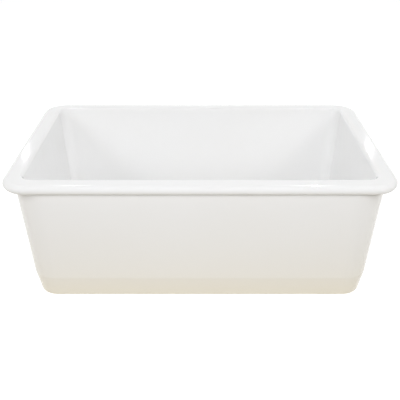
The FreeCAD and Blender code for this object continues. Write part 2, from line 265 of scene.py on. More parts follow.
def finish_mesh(bm, name, body, *nodes):
    """Makes a piece of a mesh, which rides on a body and stands for nodes. Its flat faces shade flat."""
    bmesh.ops.remove_doubles(bm, verts=bm.verts, dist=MERGED)
    bmesh.ops.dissolve_degenerate(bm, edges=bm.edges, dist=1e-7)
    bmesh.ops.recalc_face_normals(bm, faces=bm.faces)
    mesh = bpy.data.meshes.new(name)
    bm.to_mesh(mesh)
    bm.free()
    mesh.shade_smooth()
    mesh.set_sharp_from_angle(angle=SHARP)
    piece = bpy.data.objects.new(name, mesh)
    bpy.context.scene.collection.objects.link(piece)
    weighted = piece.modifiers.new("even normals", "WEIGHTED_NORMAL")
    weighted.keep_sharp = True
    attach(piece, body)
    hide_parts(*nodes)
    return piece


def reach(node):
    """A round node's outer radius, its lowest level and its highest."""
    low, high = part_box(node)
    return high.x, low.z, high.z


def eased(points, steps=6):
    """An outline through points (r, z, ease), with each corner rounded by an arc of its ease's radius."""
    path = []
    for i, (r, z, ease) in enumerate(points):
        corner = Vector((r, z))
        if not ease:
            path.append(corner)
            continue
        before = (Vector(points[i - 1][:2]) - corner).normalized()
        after = (Vector(points[(i + 1) % len(points)][:2]) - corner).normalized()
        half = before.angle(after) / 2
        centre = corner + (before + after).normalized() * (ease / math.sin(half))
        start = corner + before * (ease / math.tan(half)) - centre
        sweep = start.angle_signed(corner + after * (ease / math.tan(half)) - centre)
        path += [centre + Matrix.Rotation(-sweep * k / steps, 2) @ start for k in range(steps + 1)]
    return path


def turned(points, easing=4):
    """A solid of a section of points (r, z, ease in millimetres), turned about the drain's axis."""
    bm = bmesh.new()
    path = eased([(r, z, ease * MM) for r, z, ease in points], easing)
    corners = [bm.verts.new((p.x, 0, p.y)) for p in path]
    closed = corners + corners[:1] if points[0][0] else corners
    edges = [bm.edges.new(pair) for pair in zip(closed, closed[1:])]
    spun(bm, corners + edges, math.tau, TURNED_STEPS, use_merge=True)
    bmesh.ops.remove_doubles(bm, verts=bm.verts, dist=MERGED)
    bmesh.ops.recalc_face_normals(bm, faces=bm.faces)
    return bm


def ring(node, bore, ease):
    """A flat ring in a node's place."""
    outer, low, high = reach(node)
    return turned([(bore, low, ease), (outer, low, ease), (outer, high, ease), (bore, high, ease)])


def thread(bm, radius, depth, low, high, pitch, steps=48):
    """Winds a thread's ridge round the drain's axis. It falls to its root within 0.9 of the pitch."""
    root = radius - depth
    section = [(root - depth, low), (root, low), (radius, low + 0.4 * pitch), (radius, low + 0.5 * pitch)]
    section += [(root, low + 0.9 * pitch), (root - depth, low + 0.9 * pitch)]
    corners = [bm.verts.new((r, 0, z)) for r, z in section]
    edges = [bm.edges.new(pair) for pair in zip(corners, corners[1:] + corners[:1])]
    turns = (high - low) / pitch - 1
    spun(bm, corners + edges, math.tau * turns, round(turns * steps), dvec=(0, 0, pitch / steps))
    bmesh.ops.holes_fill(bm, edges=[e for e in bm.edges if e.is_boundary], sides=len(section))


def carved(bm, tool, operation):
    """A mesh carved by another one: their DIFFERENCE or INTERSECT."""
    parts = []
    for shape in (bm, tool):
        mesh = bpy.data.meshes.new("part")
        shape.to_mesh(mesh)
        shape.free()
        parts.append(bpy.data.objects.new("part", mesh))
        bpy.context.scene.collection.objects.link(parts[-1])
    cut = parts[0].modifiers.new("cut", "BOOLEAN")
    cut.object, cut.operation, cut.solver = parts[1], operation, "EXACT"
    result = bmesh.new()
    result.from_object(parts[0], bpy.context.evaluated_depsgraph_get())
    for part in parts:
        bpy.data.meshes.remove(part.data)
    return result


def prism(segments, radius, low, high):
    """An upright bar with a regular outline, a corner of which points to +X."""
    bm = bmesh.new()
    bmesh.ops.create_circle(bm, cap_ends=True, segments=segments, radius=radius)
    rotated(bm, Matrix.Rotation(math.pi / 2, 3, "Z"))
    bmesh.ops.translate(bm, verts=bm.verts, vec=(0, 0, low))
    raised(bm, high - low)
    return bm


NUT_CHAMFER = math.radians(30)


def nut(node, sides, bore_points):
    """A nut in a node's place: flats cut from a blank turned with chamfered corners and the given bore."""
    corner, low, high = reach(node)
    flat = corner * math.cos(math.pi / sides)
    chamfer = (corner - flat) * math.tan(NUT_CHAMFER)
    outside = [(flat, low, 0), (corner, low + chamfer, 0), (corner, high - chamfer, 0), (flat, high, 0)]
    blank = turned(outside + bore_points)
    # half a facet round, so that no corner of the blank lies in a flat and the cut is the same each run
    rotated(blank, Matrix.Rotation(math.pi / TURNED_STEPS, 3, "Z"))
    return carved(prism(sides, corner, low - MM, high + MM), blank, "INTERSECT")


def bevelled(piece, width):
    """Takes the sharp edges off a piece."""
    bevel = piece.modifiers.new("edges", "BEVEL")
    bevel.width, bevel.segments, bevel.limit_method, bevel.angle_limit = width * MM, 2, "ANGLE", SHARP
    piece.modifiers.move(len(piece.modifiers) - 1, 0)


# ---------------------------------------------------------------- basin

CORNER_STEPS = 16
SIDE_STEPS = (28, 18)
WALL_RINGS = 10
NOSE_RINGS = 16
BOWL_EASING = 9
FLOOR_RINGS = 12
DRAIN_EASING = 4
BASE_RINGS = 6
BASE_START = 15 * MM  # how far inside its edge the base's outermost ring lies
PAST_COVE = 1.2  # where the floor's rings start, in the cove's radii from the wall's foot
TRUE_DRAIN = 80 * MM  # the clay is true as far as this round the drain
TRUE_FADE = 40 * MM


def stations():
    """The rings' points: the corner, the share of the way on to the next corner, and the turn in degrees."""
    points = []
    for corner in range(4):
        points += [(corner, 0.0, 90 * (corner + k / CORNER_STEPS)) for k in range(CORNER_STEPS)]
        steps = SIDE_STEPS[corner % 2]
        points += [(corner, k / steps, 90.0 * (corner + 1)) for k in range(steps)]
    return points


class Ring:
    """A level rounded rectangle, drawn by a share towards a circle about the drain."""

    STATIONS = stations()

    def __init__(self, across, front, back, reach, z, share=0.0, radius=0.0):
        corners = ((across, back), (-across, back), (-across, front), (across, front))
        self.corners = [Vector(corner) for corner in corners]
        self.reach, self.z, self.share, self.radius = reach, z, share, radius

    def at(self, i):
        corner, along, turn = self.STATIONS[i]
        centre = self.corners[corner].lerp(self.corners[(corner + 1) % 4], along)
        square = centre + Vector((self.reach, 0)) @ Matrix.Rotation(-math.radians(turn), 2)
        even = 2 * math.pi * (i + SIDE_STEPS[1] / 2) / len(self.STATIONS)
        circle = Vector((math.cos(even), math.sin(even))) * self.radius
        return (*square.lerp(circle, self.share), self.z)


class BasinShape:
    """The basin's rings, from the pocket under the base outwards, over the rim and down to the drain."""

    def __init__(self, sizes):
        self.s = sizes
        low, high = CAD_BOX
        self.half_x = (high.x - low.x) / 2
        self.half_y = (high.y - low.y) / 2
        self.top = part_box("sink_basin")[1].z
        self.under = self.top - sizes.rim_thick
        lean = math.tan(sizes.wall_lean)
        self.crease = sizes.body_corner - (self.under - sizes.foot_height) * lean
        self.base = self.crease - sizes.foot_height * lean - sizes.foot_tuck
        self.bowl_lean = math.tan(sizes.bowl_lean)
        self.bowl_foot = sizes.rim_width + (self.top - sizes.floor_edge) * self.bowl_lean

    def body(self, reach, z, share=0.0, radius=0.0):
        """A ring round the body. Its reach is its corners' radius, about the same centres at every level."""
        s = self.s
        across = self.half_x - s.side_overhang - s.body_corner
        front = s.front_overhang - self.half_y + s.body_corner
        back = self.half_y - s.back_overhang - s.body_corner
        return Ring(across, front, back, reach, z, share, radius)

    def rim(self, reach, z):
        across, back = self.half_x - self.s.rim_corner, self.half_y - self.s.rim_corner
        return Ring(across, -back, back, reach, z)

    def bowl(self, inset, z, corner, share=0.0, radius=0.0):
        """A ring inside the bowl, inset from the rim's outer edge."""
        across, back = self.half_x - inset - corner, self.half_y - inset - corner
        return Ring(across, -back, back, corner, z, share, radius)

    def outside(self):
        """From inside the base's edge, over the foot and the crease and up to the rim."""
        s = self.s
        path = eased([
            (self.base - BASE_START, 0, 0),
            (self.base, 0, s.base_ease),
            (self.crease, s.foot_height, s.crease_ease),
            (s.body_corner, self.under, s.under_rim_ease),
            (s.body_corner + s.under_rim_ease, self.under, 0),
        ])
        rings = [self.body(r, z) for r, z in path]
        face = next(i for i, p in enumerate(path) if p.y > s.foot_height + s.crease_ease / 2)
        rings[face:face] = self.between(path[face - 1], path[face], self.body)
        return rings

    @staticmethod
    def between(start, end, make):
        return [make(*start.lerp(end, k / WALL_RINGS)) for k in range(1, WALL_RINGS)]

    def over_the_rim(self):
        s = self.s
        nose = s.rim_thick / 2
        centre = Vector((s.rim_corner - nose, self.top - nose))
        turns = [math.radians(-90 + 180 * k / NOSE_RINGS) for k in range(NOSE_RINGS + 1)]
        rings = [self.rim(centre.x + nose * math.cos(t), centre.y + nose * math.sin(t)) for t in turns]
        flat = 2 * s.rim_inner_ease
        return rings + [self.bowl(s.rim_width - flat, self.top, s.bowl_corner + flat)]

    def inside(self):
        """Over the rim's inner ease, down the wall, round the cove and on to the floor."""
        s = self.s
        path = eased([
            (s.rim_width - 1.5 * s.rim_inner_ease, self.top, 0),
            (s.rim_width, self.top, s.rim_inner_ease),
            (self.bowl_foot, s.floor_edge, s.floor_cove),
            (self.bowl_foot + PAST_COVE * s.floor_cove, s.floor_edge, 0),
        ], BOWL_EASING)
        wall_end = next(i for i, p in enumerate(path) if p.y < self.top / 2)
        rings = [self.bowl(inset, z, self.bowl_turn(inset, z)) for inset, z in path]
        ends = path[wall_end - 1], path[wall_end]
        rings[wall_end:wall_end] = self.between(*ends, lambda inset, z: self.bowl(inset, z, s.bowl_corner))
        return rings

    def bowl_turn(self, inset, z):
        """The corner's radius at a place inside: wider over the rim's ease and tighter through the cove."""
        s = self.s
        wall = s.rim_width + (self.top - z) * self.bowl_lean
        share = unit((inset - wall) / s.floor_cove)
        return s.bowl_corner + max(wall - inset, 0) - share * (s.bowl_corner - s.floor_corner)

    def floor(self):
        """Four planes that fall to the drain and turn from a rectangle to a circle."""
        s = self.s
        inset = self.bowl_foot + PAST_COVE * s.floor_cove
        edge = s.recess + s.drain_ease
        rings = []
        for k in range(1, FLOOR_RINGS + 1):
            share = k / FLOOR_RINGS
            z = s.floor_edge + (s.floor_drain - s.floor_edge) * share
            rings.append(self.bowl(inset, z, s.floor_corner, share, edge))
        return rings

    def drain(self):
        """Down the recess and the hole, and round the pocket under the base."""
        s = self.s
        ease, pocket = s.drain_ease, s.pocket_depth
        path = eased([
            (s.recess + 2 * ease, s.floor_drain, 0),
            (s.recess, s.floor_drain, ease),
            (s.recess, s.ledge, 0.5 * MM),
            (s.drain_hole, s.ledge, ease / 2),
            (s.drain_hole, pocket, ease),
            (s.pocket, pocket, ease),
            (s.pocket, 0, ease),
            (s.pocket + 2 * ease, 0, 0),
        ], DRAIN_EASING)
        return [self.body(0, z, 1.0, r) for r, z in path[1:]]

    def underside(self):
        reach, pocket = self.base - BASE_START, self.s.pocket + 2 * self.s.drain_ease
        return [self.body(reach, 0, 1 - k / BASE_RINGS, pocket) for k in range(1, BASE_RINGS)]

    def rings(self):
        ways = (self.outside, self.over_the_rim, self.inside, self.floor, self.drain, self.underside)
        return [ring for way in ways for ring in way()]


def basin_mesh(sizes):
    """One ring of points, extruded from each level to the next and joined up to the first."""
    bm = bmesh.new()
    station = bm.verts.layers.int.new("station")
    rings = BasinShape(sizes).rings()
    first = bmesh.ops.create_circle(bm, segments=len(Ring.STATIONS), radius=1)["verts"]
    for i, v in enumerate(first):
        v[station] = i
        v.co = rings[0].at(i)
    edges = bm.edges[:]
    for ring in rings[1:] + rings[:1]:
        grown = bmesh.ops.extrude_edge_only(bm, edges=edges)["geom"]
        points = set(points_of(grown))
        edges = [g for g in grown if isinstance(g, bmesh.types.BMEdge) and points.issuperset(g.verts)]
        for v in points:
            v.co = ring.at(v[station])
    bmesh.ops.remove_doubles(bm, verts=bm.verts, dist=MERGED)
    bmesh.ops.recalc_face_normals(bm, faces=bm.faces)
    return bm


def ripple(bm, depth, scale):
    """Lets the surface wander inwards, as hand-smoothed clay does. It stays true round the drain."""
    bm.normal_update()
    moved = []
    for v in bm.verts:
        swell = 0.5 + 0.5 * noise.noise(v.co / scale)
        fine = 0.5 + 0.5 * noise.noise(v.co / (0.4 * scale) + Vector((3, 1, 2)))
        free = unit((v.co.xy.length - TRUE_DRAIN) / TRUE_FADE)
        moved.append(v.co - v.normal * depth * free * unit(0.75 * swell + 0.25 * fine))
    for v, co in zip(bm.verts, moved):
        v.co = co


# ---------------------------------------------------------------- waste


def spun_strainer(w, seat, seal):
    """The strainer: flange, mouth, the basket's seat, cup and outlet, with a thread on its barrel."""
    flange, low, top = reach("strainer_body")
    floor, outside, root = -w.cup_floor, w.cup + w.cup_wall, w.barrel - w.thread_depth
    bm = turned([
        (flange, seal, 0.2),
        (flange, seal + w.flange_edge, 0.5),
        (w.crown, top, 12),
        (w.mouth, top - w.mouth_dip, 1.8),
        (w.mouth, seat, 0.3),
        (w.cup, seat, 0.5),
        (w.cup, floor, w.cup_cove / MM),
        (w.outlet, floor, 1),
        (w.outlet, low, 0.3),
        (w.spigot, low, 0.4),
        (w.spigot, floor - w.cup_wall, 1.2),
        (outside, floor - w.cup_wall, (w.cup_cove + w.cup_wall) / MM),
        (outside, -w.barrel_end, 0),
        (root, -w.barrel_end, 0.3),
        (root, seal, 0),
    ])
    thread(bm, w.barrel, w.thread_depth, -w.barrel_end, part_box("under_gasket")[0].z, w.thread_pitch)
    return bm


LOCK_NUT_SIDES = 8


def hexagon_nut(w):
    """The coupling nut: wide round the spigot, with a lip under the tailpiece's flange."""
    low, high = (corner.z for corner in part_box("coupling_nut"))
    wide, narrow, lip = w.spigot + w.loose_fit, w.neck + w.loose_fit, low + w.lip
    bore = [(wide, high, 0.6), (wide, lip, 0.2), (narrow, lip, 0.2), (narrow, low, 0.6)]
    return nut("coupling_nut", 6, bore)


def tail_tube(w):
    """The tailpiece: a tube with a thicker neck and a flange turned out at its top."""
    flange, low, top = reach("tailpiece")
    bore, under = w.tube - w.tube_wall, top - w.tube_flange
    return turned([
        (bore, low, 0.3),
        (w.tube, low, 0.3),
        (w.tube, -w.neck_end, 0.2),
        (w.neck, -w.neck_end, 0.3),
        (w.neck, under, 0.3),
        (flange, under, 0.3),
        (flange, top, 0.3),
        (bore, top, 1),
    ])


# ---------------------------------------------------------------- basket and plunger

WALL_SLOTS = 20
FLOOR_SLOTS = 10
FLUTES = 16
FLUTED = 0.9  # the share of the knob's radius from which the flutes are cut
CLIP_STEPS = 48
UPRIGHT = Matrix(((0, 0, 1), (1, 0, 0), (0, 1, 0)))
RADIAL = Matrix(((0, 1, 0), (-1, 0, 0), (0, 0, 1)))


def slots(count, long, wide, deep, turn, start):
    """Bars with a slot's outline, evenly round the drain's axis. The first is turned and moved to start."""
    bm = bmesh.new()
    bmesh.ops.create_circle(bm, cap_ends=True, segments=18, radius=wide / 2)
    bmesh.ops.translate(bm, verts=[v for v in bm.verts if v.co.y > 0], vec=(0, long - wide, 0))
    raised(bm, deep)
    rotated(bm, turn)
    bmesh.ops.translate(bm, verts=bm.verts, vec=start)
    spun(bm, everything(bm), math.tau * (count - 1) / count, count - 1, use_duplicate=True)
    return bm


def slotted_basket(b, seat):
    """The pressed cup, which hangs by its flat rim, with slots in its wall and floor."""
    rim, low, top = reach("basket_cup")
    inside, half = low + b.sheet, b.slot_width / 2
    cup = turned([
        (rim, seat, 0.3),
        (rim, top, 0.3),
        (b.wall - b.sheet, top, 1.2),
        (b.wall - b.sheet, inside, (b.cove - b.sheet) / MM),
        (b.hub, inside, 0),
        (b.hub, low, 0),
        (b.wall, low, b.cove / MM),
        (b.wall, seat, 0.3),
    ])
    deep = 3 * b.sheet
    upright = b.wall_slot_low + b.wall_slot_high
    start = (b.wall - 2 * b.sheet, 0, half - b.wall_slot_low)
    cup = carved(cup, slots(WALL_SLOTS, upright, b.slot_width, deep, UPRIGHT, start), "DIFFERENCE")
    start = (b.floor_slot_in + half, 0, low - b.sheet)
    outwards = b.floor_slot_out - b.floor_slot_in
    return carved(cup, slots(FLOOR_SLOTS, outwards, b.slot_width, deep, RADIAL, start), "DIFFERENCE")


def guide_sleeve(b):
    """The hub in the basket's floor: a spreading foot, and a counterbore at the top for the spring clip."""
    foot, low, top = reach("basket_hub")
    inside, sleeve, clip_floor = low + b.sheet, b.hub - b.hub_wall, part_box("detent_clip")[0].z
    return turned([
        (b.hub_bore, low, 0.2),
        (b.hub, low, 0),
        (b.hub, inside, 0),
        (foot, inside, 0.2),
        (foot - b.hub_wall, inside + b.hub_wall, 0.5),
        (sleeve, inside + 2 * b.hub_wall, 1),
        (sleeve, top, 0.4),
        (b.clip_seat, top, 0.2),
        (b.clip_seat, clip_floor, 0),
        (b.hub_bore, clip_floor, 0),
    ])


def spring_clip(b):
    """A round wire bent into a split ring, with its gap to the front."""
    outer, low, high = reach("detent_clip")
    bm = bmesh.new()
    bmesh.ops.create_circle(bm, cap_ends=True, segments=12, radius=(high - low) / 2)
    rotated(bm, Matrix.Rotation(math.radians(90), 3, "X"))
    bmesh.ops.translate(bm, verts=bm.verts, vec=((b.clip_inner + outer) / 2, 0, (low + high) / 2))
    rotated(bm, Matrix.Rotation(math.radians(270) + b.clip_gap / 2, 3, "Z"))
    spun(bm, everything(bm), math.tau - b.clip_gap, CLIP_STEPS)
    return bm


def turned_post(b):
    """The post, with a stud for the stopper and two grooves as far apart as the stopper travels."""
    radius, low, top = reach("basket_post")
    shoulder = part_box("stopper_backing")[1].z
    points = [(0, low, 0), (b.stud, low, 0.5), (b.stud, shoulder, 0), (radius, shoulder, 0.4)]
    for groove in (0.0, b.travel):
        bottom, over = radius - b.groove, groove + b.groove_width
        points += [(radius, groove, 0.15), (bottom, groove, 0.2), (bottom, over, 0.2), (radius, over, 0.15)]
    return turned(points + [(radius, top, 0.4), (0, top, 0)])


def fluted_knob(b):
    """The knob: a foot that flares out to a fluted grip under a low dome."""
    radius, low, top = reach("basket_knob")
    socket, post_end = reach("basket_post")[0] + b.thread_fit, reach("basket_post")[2]
    grip = top - b.grip
    bm = turned([
        (socket, low, 0.3),
        (b.knob_foot, low, 0.8),
        (radius, grip, 1.6),
        (radius, top - b.dome, 1.0),
        (0.6 * radius, top, 8),
        (0, top, 0),
        (0, post_end, 0),
        (socket, post_end, 0),
    ])
    for v in bm.verts:
        turn = math.atan2(v.co.y, v.co.x)
        hold = unit((v.co.xy.length / radius - FLUTED) / 0.1) ** 2
        v.co.xy *= 1 - hold * b.flute / radius * (0.5 - 0.5 * math.cos(FLUTES * turn))
    return bm


def rubber_stopper(b):
    """The stopper: a moulded disc with a sealing bevel below and a shallow channel on top."""
    outer, low, top = reach("stopper_disc")
    bore, washer = b.stud + b.thread_fit, reach("stopper_backing")[0]
    rim, channel = outer - 1.2 * b.stopper_bevel, top - 0.3 * b.stopper_bevel
    return turned([
        (bore, low, 0),
        (outer - b.stopper_bevel, low, 0.6),
        (outer, low + b.stopper_bevel, 0.8),
        (outer, top, 0.8),
        (rim, top, 0.4),
        (rim, channel, 0.3),
        (washer + b.stopper_bevel, channel, 0.3),
        (washer + b.stopper_bevel, top, 0.4),
        (bore, top, 0),
    ])


def stud_nut(b):
    """The small hexagon nut on the post's stud."""
    low, high = (corner.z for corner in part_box("stopper_nut"))
    bore = b.stud + b.thread_fit
    return nut("stopper_nut", 6, [(bore, high, 0.2), (bore, low, 0.2)])


# ---------------------------------------------------------------- shader nodes


def fill(tree, socket, value):
    """Links another node's socket to a socket, or sets the socket's own value."""
    if isinstance(value, bpy.types.NodeSocket):
        tree.links.new(value, socket)
    else:
        socket.default_value = value


def place(tree, kind, inputs=None, **settings):
    """A node with its settings, and its inputs by name or number: a value or another node's socket."""
    node = tree.nodes.new("ShaderNode" + kind)
    for key, value in settings.items():
        setattr(node, key, value)
    for key, value in (inputs or {}).items():
        fill(tree, node.inputs[key], value)
    return node


def calculated(tree, operation, *values):
    return place(tree, "Math", dict(enumerate(values)), operation=operation).outputs[0]


def vector_maths(tree, operation, *values):
    return place(tree, "VectorMath", dict(enumerate(values)), operation=operation).outputs[0]


def length_of(tree, vector):
    return place(tree, "VectorMath", {0: vector}, operation="LENGTH").outputs["Value"]


def noisy(tree, where, scale, detail):
    """A cloud of noise, from 0 to 1."""
    return place(tree, "TexNoise", {"Vector": where, "Scale": scale, "Detail": detail}).outputs["Fac"]


def ranged(tree, value, low, high, to_low=0.0, to_high=1.0):
    """A value carried from one range to another, and held inside it."""
    node = place(tree, "MapRange", {
        "Value": value, "From Min": low, "From Max": high, "To Min": to_low, "To Max": to_high,
    })
    return node.outputs["Result"]


def mixed(tree, mask, first, second):
    """A colour between two, by a mask."""
    mix = place(tree, "Mix", data_type="RGBA")
    for number, value in ((0, mask), (6, first), (7, second)):
        whole = isinstance(value, bpy.types.NodeSocket) or not hasattr(value, "__len__")
        fill(tree, mix.inputs[number], value if whole else (*value, 1))
    return mix.outputs[2]


# ---------------------------------------------------------------- shared node groups


def blotches(tree, here, scale, low, high):
    """Soft blotches: a mask from 0 to 1 that wanders over the surface."""
    return ranged(tree, noisy(tree, here, scale, 3.0), low, high)


def specks(tree, here, scale, size, share):
    """Sparse round specks: a mask that is 1 inside a speck."""
    cells = place(tree, "TexVoronoi", {"Vector": here, "Scale": scale}).outputs
    chosen = calculated(tree, "LESS_THAN", cells["Color"], share)
    return calculated(tree, "MULTIPLY", chosen, ranged(tree, cells["Distance"], size, 0.0))


def glaze_skin(tree, here, wave_scale, peel_scale, peel):
    """A height for the fine orange peel and slow waves of a fired glaze."""
    fine, wave = noisy(tree, here, peel_scale, 2.0), noisy(tree, here, wave_scale, 1.0)
    return calculated(tree, "MULTIPLY_ADD", fine, peel, wave)


def turned_rings(tree, here, scale, change):
    """Fine rings about the drain's axis, as turning and polishing leave them: a value about 0.5."""
    parts = place(tree, "SeparateXYZ", {0: here}).outputs
    radius = length_of(tree, place(tree, "CombineXYZ", {"X": parts["X"], "Y": parts["Y"]}).outputs[0])
    drift = calculated(tree, "MULTIPLY", calculated(tree, "DIVIDE", parts["X"], radius), change)
    unrolled = place(tree, "CombineXYZ", {"X": radius, "Y": drift, "Z": parts["Z"]}).outputs[0]
    return noisy(tree, unrolled, scale, 2.0)


def scratches(tree, here, scale, share):
    """Hairline scratches that run two ways: a mask that is 1 in a scratch."""
    limit = ranged(tree, share, 0.0, 1.0, 0.85, 0.55)
    ways = []
    for turn, stretch in ((0.6, 0.06), (2.1, 0.08)):
        settings = {"Vector": here, "Rotation": (0.3, 0.2, turn), "Scale": (1.0, stretch, 1.0)}
        run = place(tree, "Mapping", settings).outputs[0]
        ways.append(ranged(tree, noisy(tree, run, scale, 1.0), limit, 0.9))
    return calculated(tree, "MAXIMUM", *ways)


def moulded_grain(tree, here, scale, dents):
    """The skin of a moulded or cast piece: a height of fine grains and shallow dents."""
    coarse = calculated(tree, "MULTIPLY", scale, 0.2)
    hollows = place(tree, "TexVoronoi", {"Vector": here, "Scale": coarse}).outputs["Distance"]
    return calculated(tree, "MULTIPLY_ADD", hollows, dents, noisy(tree, here, scale, 3.0))


GROUPS = {
    # its maker, its output, and its inputs beside the vector
    "Blotches": (blotches, "Mask", {"Scale": 8.0, "Low": 0.35, "High": 0.65}),
    "Specks": (specks, "Mask", {"Scale": 90.0, "Size": 0.06, "Share": 0.05}),
    "Glaze skin": (glaze_skin, "Height", {"Wave Scale": 22.0, "Peel Scale": 260.0, "Peel": 0.12}),
    "Turned rings": (turned_rings, "Fac", {"Scale": 1500.0, "Change": 0.002}),
    "Scratches": (scratches, "Mask", {"Scale": 220.0, "Share": 0.3}),
    "Moulded grain": (moulded_grain, "Height", {"Scale": 1200.0, "Dents": 0.5}),
}


def shared_group(name):
    """A shader node group: a vector and plain numbers in, and one value out."""
    make, output, defaults = GROUPS[name]
    group = bpy.data.node_groups.new(name, "ShaderNodeTree")
    group.interface.new_socket("Vector", in_out="INPUT", socket_type="NodeSocketVector")
    for socket, value in defaults.items():
        made = group.interface.new_socket(socket, in_out="INPUT", socket_type="NodeSocketFloat")
        made.default_value = value
    group.interface.new_socket(output, in_out="OUTPUT", socket_type="NodeSocketFloat")
    given = group.nodes.new("NodeGroupInput").outputs
    result = make(group, *(given[socket] for socket in ("Vector", *defaults)))
    group.links.new(result, group.nodes.new("NodeGroupOutput").inputs[output])
    return group


def effect(tree, name, here, **inputs):
    """What a shared group makes of the surface. It is built when first asked for. Underscores are spaces."""
    node = tree.nodes.new("ShaderNodeGroup")
    node.node_tree = bpy.data.node_groups.get(name) or shared_group(name)
    for key, value in {"Vector": here, **inputs}.items():
        fill(tree, node.inputs[key.replace("_", " ")], value)
    return node.outputs[0]


# ---------------------------------------------------------------- materials


def new_material(name):
    """A material with an empty tree, and the object's own coordinates."""
    material = bpy.data.materials.new(name)
    material.use_nodes = True
    tree = material.node_tree
    tree.nodes.clear()
    return material, tree, place(tree, "TexCoord").outputs["Object"]


def shaded(tree, base, rough, height, depth, strength=1.0, **own):
    """Ends a material with its shader, a relief of a depth and plain values for the shader's own sockets."""
    bump = place(tree, "Bump", {"Strength": strength, "Distance": depth, "Height": height})
    values = {"Base Color": base, "Roughness": rough, "Normal": bump.outputs["Normal"]}
    values.update({name.replace("_", " "): value for name, value in own.items()})
    place(tree, "OutputMaterial", {"Surface": place(tree, "BsdfPrincipled", values).outputs["BSDF"]})


def bare_clay(tree, here, sizes):
    """A mask that is 1 where no glaze was brushed on: the base underneath and its pocket."""
    across = length_of(tree, vector_maths(tree, "MULTIPLY", here, (1, 1, 0)))
    edge = sizes.pocket + sizes.drain_ease
    level = ranged(tree, across, edge, edge - MM, 0.9 * MM, sizes.pocket_depth + 0.5 * MM)
    height = place(tree, "SeparateXYZ", {0: here}).outputs["Z"]
    return ranged(tree, calculated(tree, "SUBTRACT", height, level), 0.0, -0.6 * MM)


def glaze_material(name, finishes):
    """White glaze, warmer where it thins, with faint specks. The base underneath is bare clay."""
    material, tree, here = new_material(name)
    thin = effect(tree, "Blotches", here, Scale=5.0, Low=0.42, High=0.75)
    iron = effect(tree, "Specks", here, Scale=70.0, Size=0.05, Share=0.035)
    dull = effect(tree, "Blotches", here, Scale=14.0, Low=0.3, High=0.7)
    skin = effect(tree, "Glaze skin", here, Wave_Scale=26.0, Peel_Scale=240.0, Peel=0.06)
    bare = bare_clay(tree, here, bpy.context.scene.basin_sizes)
    shell = mixed(tree, iron, mixed(tree, thin, finishes.glaze, finishes.glaze_warm), finishes.speck)
    base = mixed(tree, bare, shell, finishes.clay)
    rough = calculated(tree, "MULTIPLY_ADD", bare, 0.8, ranged(tree, dull, 0, 1, 0.06, 0.10))
    relief = calculated(tree, "MULTIPLY_ADD", bare, noisy(tree, here, 400.0, 3.0), skin)
    shaded(tree, base, rough, relief, 0.4 * MM, strength=0.35, IOR=1.5)
    return material


def metal_material(name, colour, gloss, spread, rings, depth, worn):
    """Turned, pressed or plated metal: fine rings, a water film that dulls it in places, and scratches."""
    material, tree, here = new_material(name)
    lines = effect(tree, "Turned rings", here, Scale=rings)
    film = effect(tree, "Blotches", here, Scale=70.0, Low=0.45, High=0.7)
    marks = effect(tree, "Scratches", here, Scale=260.0, Share=worn)
    base = mixed(tree, film, colour, [0.86 * c for c in colour])
    rough = ranged(tree, lines, 0.3, 0.7, gloss, gloss + spread)
    rough = calculated(tree, "MULTIPLY_ADD", film, 0.5 * spread, rough)
    rough = calculated(tree, "MULTIPLY_ADD", marks, spread, rough)
    relief = calculated(tree, "MULTIPLY_ADD", marks, -0.4, lines)
    shaded(tree, base, rough, relief, depth * MM, Metallic=1.0)
    return material


def brass_material(name, finishes):
    """Cast brass that has gone dull and brown in its hollows."""
    material, tree, here = new_material(name)
    dull = effect(tree, "Blotches", here, Scale=95.0, Low=0.35, High=0.7)
    height = effect(tree, "Moulded grain", here, Scale=1100.0, Dents=0.8)
    pits = ranged(tree, height, 0.75, 0.45, 0.0, 0.6)
    base = mixed(tree, dull, finishes.brass, [c * k for c, k in zip(finishes.brass, (0.72, 0.66, 0.58))])
    base = mixed(tree, pits, base, [0.45 * c for c in finishes.brass])
    shaded(tree, base, ranged(tree, dull, 0, 1, 0.34, 0.58), height, 0.12 * MM, Metallic=1.0)
    return material


def rubber_material(name, colour, grain):
    """Moulded rubber with a faint pale bloom."""
    material, tree, here = new_material(name)
    bloom = effect(tree, "Blotches", here, Scale=60.0, Low=0.4, High=0.75)
    height = effect(tree, "Moulded grain", here, Scale=grain, Dents=0.2)
    base = mixed(tree, ranged(tree, bloom, 0, 1, 0.0, 0.25), colour, [0.6 * c + 0.1 for c in colour])
    rough = ranged(tree, bloom, 0, 1, 0.52, 0.74)
    shaded(tree, base, rough, height, 0.05 * MM, Specular_IOR_Level=0.4)
    return material


def fibre_material(name, finishes):
    """Pressed brown fibre: short strands pressed flat, some paler and some darker."""
    material, tree, here = new_material(name)
    flat = place(tree, "Mapping", {"Vector": here, "Scale": (1.0, 0.25, 3.0)}).outputs[0]
    strands = noisy(tree, flat, 900.0, 3.0)
    mask = ranged(tree, strands, 0.35, 0.65)
    base = mixed(tree, mask, [0.6 * c for c in finishes.fibre], [1.25 * c for c in finishes.fibre])
    shaded(tree, base, ranged(tree, mask, 0, 1, 0.75, 0.9), strands, 0.08 * MM)
    return material


def nylon_material(name, finishes):
    """White nylon, a little yellowed."""
    material, tree, here = new_material(name)
    aged = effect(tree, "Blotches", here, Scale=80.0, Low=0.3, High=0.8)
    height = effect(tree, "Moulded grain", here, Scale=800.0, Dents=0.1)
    base = mixed(tree, aged, finishes.nylon, [c * k for c, k in zip(finishes.nylon, (0.98, 0.95, 0.86))])
    shaded(tree, base, ranged(tree, aged, 0, 1, 0.36, 0.46), height, 0.04 * MM)
    return material


